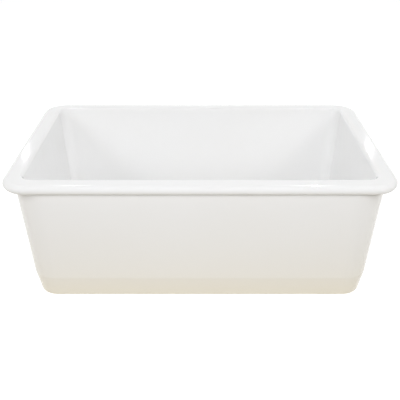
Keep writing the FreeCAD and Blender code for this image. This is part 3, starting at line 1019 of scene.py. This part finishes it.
MATERIALS = {
    # a metal's least roughness and its spread, its rings' scale, its relief in millimetres and its wear
    "stainless": lambda name, f: metal_material(name, f.steel, 0.20, 0.16, 2200.0, 0.03, 0.45),
    "basket_steel": lambda name, f: metal_material(name, f.steel, 0.16, 0.12, 3200.0, 0.015, 0.35),
    "knob_steel": lambda name, f: metal_material(name, f.chrome, 0.07, 0.07, 1800.0, 0.006, 0.3),
    "spring_steel": lambda name, f: metal_material(name, f.spring, 0.30, 0.15, 4000.0, 0.02, 0.2),
    "plated_brass": lambda name, f: metal_material(name, f.chrome, 0.09, 0.08, 1600.0, 0.008, 0.4),
    # a rubber's scale of grain
    "seal_rubber": lambda name, f: rubber_material(name, f.grey_rubber, 1500.0),
    "gasket_rubber": lambda name, f: rubber_material(name, f.black_rubber, 900.0),
    "stopper_rubber": lambda name, f: rubber_material(name, f.black_rubber, 2000.0),
    "glaze": glaze_material,
    "cast_brass": brass_material,
    "fibre": fibre_material,
    "washer_plastic": nylon_material,
}


def clothe(piece, slot, finishes):
    """Gives a piece its slot's finish, made when first asked for. The frame's own materials stay apart."""
    name = f"{slot}_finish"
    piece.data.materials.clear()
    piece.data.materials.append(bpy.data.materials.get(name) or MATERIALS[slot](name, finishes))


# ---------------------------------------------------------------- operators


def add(context, bm, name, body, node, slot):
    """Makes a finished piece, which stands for a node."""
    piece = finish_mesh(bm, name, body, node)
    clothe(piece, slot, context.scene.finishes)
    return piece


class SINK_OT_basin(bpy.types.Operator):
    """Build the glazed basin"""

    bl_idname = "sink.basin"
    bl_label = "Basin"

    def execute(self, context):
        sizes = context.scene.basin_sizes
        bm = basin_mesh(sizes)
        ripple(bm, sizes.ripple, sizes.ripple_scale)
        add(context, bm, "glazed_basin", "root", "sink_basin", "glaze")
        return {"FINISHED"}


class SINK_OT_strainer(bpy.types.Operator):
    """Build the strainer and the ring that seals its flange"""

    bl_idname = "sink.strainer"
    bl_label = "Strainer"

    def execute(self, context):
        w, b = context.scene.waste_sizes, context.scene.basket_sizes
        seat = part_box("basket_cup")[1].z - b.sheet
        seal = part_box("flange_seal")[1].z
        sealing = ring("flange_seal", w.seal_bore, 0.4)
        add(context, sealing, "flange_sealing_ring", "root", "flange_seal", "seal_rubber")
        add(context, spun_strainer(w, seat, seal), "spun_strainer", "root", "strainer_body", "stainless")
        return {"FINISHED"}


class SINK_OT_clamp(bpy.types.Operator):
    """Build the gasket, ring and lock nut that clamp the strainer to the basin"""

    bl_idname = "sink.clamp"
    bl_label = "Clamping stack"

    def execute(self, context):
        bore = context.scene.waste_sizes.stack_bore
        _, low, high = reach("lock_nut")
        locking = nut("lock_nut", LOCK_NUT_SIDES, [(bore, high, 0.6), (bore, low, 0.6)])
        add(context, ring("under_gasket", bore, 1.0), "floor_gasket", "root", "under_gasket", "gasket_rubber")
        add(context, ring("friction_ring", bore, 0.15), "slip_ring", "root", "friction_ring", "fibre")
        bevelled(add(context, locking, "octagon_nut", "root", "lock_nut", "cast_brass"), 0.5)
        return {"FINISHED"}


class SINK_OT_tailpiece(bpy.types.Operator):
    """Build the tailpiece, its washer and its coupling nut"""

    bl_idname = "sink.tailpiece"
    bl_label = "Tailpiece"

    def execute(self, context):
        w = context.scene.waste_sizes
        washer = ring("tailpiece_washer", w.tube - w.tube_wall, 0.4)
        add(context, washer, "slip_washer", "root", "tailpiece_washer", "washer_plastic")
        bevelled(add(context, hexagon_nut(w), "hexagon_nut", "root", "coupling_nut", "plated_brass"), 0.4)
        add(context, tail_tube(w), "tail_tube", "root", "tailpiece", "plated_brass")
        return {"FINISHED"}


class SINK_OT_basket(bpy.types.Operator):
    """Build the basket with its hub and spring clip"""

    bl_idname = "sink.basket"
    bl_label = "Basket"

    def execute(self, context):
        b = context.scene.basket_sizes
        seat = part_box("basket_cup")[1].z - b.sheet
        add(context, slotted_basket(b, seat), "slotted_basket", "basket", "basket_cup", "basket_steel")
        add(context, guide_sleeve(b), "guide_sleeve", "basket", "basket_hub", "basket_steel")
        add(context, spring_clip(b), "spring_clip", "basket", "detent_clip", "spring_steel")
        return {"FINISHED"}


class SINK_OT_plunger(bpy.types.Operator):
    """Build the knob, the post and the stopper with its washer and nut"""

    bl_idname = "sink.plunger"
    bl_label = "Plunger"

    def execute(self, context):
        b = context.scene.basket_sizes
        add(context, turned_post(b), "turned_post", "plunger", "basket_post", "basket_steel")
        add(context, fluted_knob(b), "fluted_knob", "plunger", "basket_knob", "knob_steel")
        add(context, rubber_stopper(b), "rubber_stopper", "plunger", "stopper_disc", "stopper_rubber")
        washer = ring("stopper_backing", b.stud + b.thread_fit, 0.2)
        add(context, washer, "backing_washer", "plunger", "stopper_backing", "cast_brass")
        add(context, stud_nut(b), "stud_nut", "plunger", "stopper_nut", "cast_brass")
        return {"FINISHED"}


# ---------------------------------------------------------------- stage


def seen_directly(tree):
    """1 for what the camera sees, straight on or mirrored, and 0 for what lights the object."""
    path = place(tree, "LightPath").outputs
    seen = calculated(tree, "MAXIMUM", path["Is Camera Ray"], path["Is Glossy Ray"])
    return calculated(tree, "MAXIMUM", seen, path["Is Transmission Ray"])


def floor_light(tree, look, here):
    """The light that the floor throws on the object: warm near it, cool out in front and dim elsewhere."""
    half = CAD_BOX[1]
    inner = (0.9 * half.x, 0.9 * half.y, 0)
    out = vector_maths(tree, "SUBTRACT", vector_maths(tree, "ABSOLUTE", here), inner)
    away = length_of(tree, vector_maths(tree, "MAXIMUM", out, (0, 0, 0)))
    near = calculated(tree, "EXPONENT", calculated(tree, "DIVIDE", away, -look.floor_fade))
    axes = place(tree, "SeparateXYZ", {0: here}).outputs
    behind = ranged(tree, axes["Y"], -1.6 * half.y, -0.8 * half.y)
    aside = ranged(tree, calculated(tree, "ABSOLUTE", axes["X"]), half.x, 2.5 * half.x)
    far = mixed(tree, calculated(tree, "MAXIMUM", behind, aside), look.floor_far, look.floor_beside)
    return mixed(tree, near, far, look.floor_near)


def floor_material(look):
    """A pale floor. It lights the object, and the camera sees it as white but for the object's shadow."""
    material, tree, here = new_material("floor")
    lit = place(tree, "Emission", {"Color": floor_light(tree, look, here), "Strength": 1.0})
    grey = place(tree, "BsdfDiffuse", {"Color": (look.floor_grey,) * 3 + (1,)})
    glow = place(tree, "Emission", {"Color": (1, 1, 1, 1), "Strength": look.floor_glow})
    white = place(tree, "AddShader", {0: grey.outputs[0], 1: glow.outputs[0]})
    top = place(tree, "MixShader", {0: seen_directly(tree), 1: lit.outputs[0], 2: white.outputs[0]})
    clear = place(tree, "BsdfTransparent")
    under = place(tree, "NewGeometry").outputs["Backfacing"]
    both = place(tree, "MixShader", {0: under, 1: top.outputs[0], 2: clear.outputs[0]})
    place(tree, "OutputMaterial", {"Surface": both.outputs[0]})
    return material


def studio_world(look):
    """An even pale room, brighter towards the front, which the camera and the gloss see as white."""
    world = bpy.data.worlds.new("studio")
    world.use_nodes = True
    tree = world.node_tree
    tree.nodes.clear()
    forward = place(tree, "SeparateXYZ", {0: place(tree, "TexCoord").outputs["Generated"]}).outputs["Y"]
    front = ranged(tree, forward, 0, -1, look.world, look.world + look.world_front)
    strength = place(tree, "Mix", {0: seen_directly(tree), 2: front, 3: 1.0}).outputs[0]
    room = place(tree, "Background", {"Color": (1, 1, 1, 1), "Strength": strength})
    place(tree, "OutputWorld", {"Surface": room.outputs[0]})
    return world


FLOOR_STEPS = 128
FLOOR_LEVEL = -0.02 * MM  # just under the base
AIM = Vector((0, 0, 0.15))
LAMP_DISTANCE = 2.2
SENSOR = 36.0
LAMPS = (
    # power's name, degrees round from the front to the right, degrees up, width in metres
    ("front_low", 0, 28, 0.9),
    ("front_high", 0, 40, 0.9),
    ("left_key", -37.6, 23.9, 0.45),
    ("right_key", 37.6, 27.5, 0.45),
    ("sides", 90, 28, 0.9),
    ("sides", -90, 28, 0.9),
    ("back_low", 180, 22, 0.9),
    ("back_high", 180, 50, 0.9),
    ("low_glints", 155.2, 22.6, 0.03),
    ("low_glints", -154.2, 23.0, 0.035),
    ("high_glints", 156.5, 49.9, 0.08),
    ("high_glints", -153.6, 49.3, 0.08),
)


class SINK_OT_stage(bpy.types.Operator):
    """Set up the floor, the lamps and the camera"""

    bl_idname = "sink.stage"
    bl_label = "Stage"

    def execute(self, context):
        look = context.scene.stage_look
        self.floor(context, look)
        context.scene.world = studio_world(look)
        for power, turn, rise, width in LAMPS:
            turn, rise = math.radians(turn), math.radians(rise)
            way = Vector((math.sin(turn) * math.cos(rise), -math.cos(turn) * math.cos(rise), math.sin(rise)))
            self.lamp(context, power, AIM + way * LAMP_DISTANCE, getattr(look, power), width)
        self.camera(context, look)
        context.scene.view_settings.view_transform = "Standard"
        return {"FINISHED"}

    def floor(self, context, look):
        """A wide sheet with a hole for the waste, whose edge the basin hides."""
        bm = bmesh.new()
        bmesh.ops.create_circle(bm, segments=FLOOR_STEPS, radius=look.floor_hole)
        outer = points_of(bmesh.ops.extrude_edge_only(bm, edges=bm.edges[:])["geom"])
        bmesh.ops.scale(bm, verts=outer, vec=(look.floor_reach / look.floor_hole,) * 3)
        bm.normal_update()
        bmesh.ops.reverse_faces(bm, faces=[f for f in bm.faces if f.normal.z < 0])
        mesh = bpy.data.meshes.new("floor")
        bm.to_mesh(mesh)
        bm.free()
        sheet = bpy.data.objects.new("floor", mesh)
        sheet.location.z = FLOOR_LEVEL
        context.scene.collection.objects.link(sheet)
        sheet.data.materials.append(floor_material(look))

    def lamp(self, context, name, at, watts, width):
        """A round lamp. The glints are seen in gloss alone, and the others light without being mirrored."""
        data = bpy.data.lights.new(name, "AREA")
        data.shape, data.size, data.energy = "DISK", width, watts
        lamp = bpy.data.objects.new(name, data)
        lamp.location = at
        lamp.rotation_euler = (AIM - at).to_track_quat("-Z", "Y").to_euler()
        lamp.visible_glossy = "glint" in name
        lamp.visible_diffuse = not lamp.visible_glossy
        context.scene.collection.objects.link(lamp)

    def camera(self, context, look):
        data = bpy.data.cameras.new("camera")
        data.lens, data.sensor_width = look.lens, SENSOR
        camera = bpy.data.objects.new("camera", data)
        camera.location = (0, -look.camera_back, look.camera_up)
        camera.rotation_euler = (math.pi / 2 - look.camera_tilt, 0, 0)
        context.scene.collection.objects.link(camera)
        context.scene.camera = camera


class SINK_PT_panel(bpy.types.Panel):
    """Lists the sink's operators and sizes"""

    bl_idname = "SINK_PT_panel"
    bl_label = "Farmhouse sink"
    bl_space_type = "VIEW_3D"
    bl_region_type = "UI"
    bl_category = "Sink"

    def draw(self, context):
        for operator in OPERATORS:
            self.layout.operator(operator.bl_idname)
        for name, group in SETTINGS.items():
            box = self.layout.box()
            box.label(text=group.__doc__)
            for size in group.__annotations__:
                box.prop(getattr(context.scene, name), size)


SETTINGS = {
    "basin_sizes": BasinSizes,
    "waste_sizes": WasteSizes,
    "basket_sizes": BasketSizes,
    "finishes": Finishes,
    "stage_look": StageLook,
}
OPERATORS = (
    SINK_OT_basin, SINK_OT_strainer, SINK_OT_clamp, SINK_OT_tailpiece, SINK_OT_basket, SINK_OT_plunger,
    SINK_OT_stage,
)
CLASSES = (*SETTINGS.values(), *OPERATORS, SINK_PT_panel)


def register():
    for made in CLASSES:
        bpy.utils.register_class(made)
    for name, group in SETTINGS.items():
        setattr(bpy.types.Scene, name, PointerProperty(type=group))


def unregister():
    for name in SETTINGS:
        delattr(bpy.types.Scene, name)
    for made in CLASSES:
        bpy.utils.unregister_class(made)


def main():
    register()
    for operator in OPERATORS:
        family, name = operator.bl_idname.split(".")
        getattr(getattr(bpy.ops, family), name)()


if __name__ == "__main__":
    main()
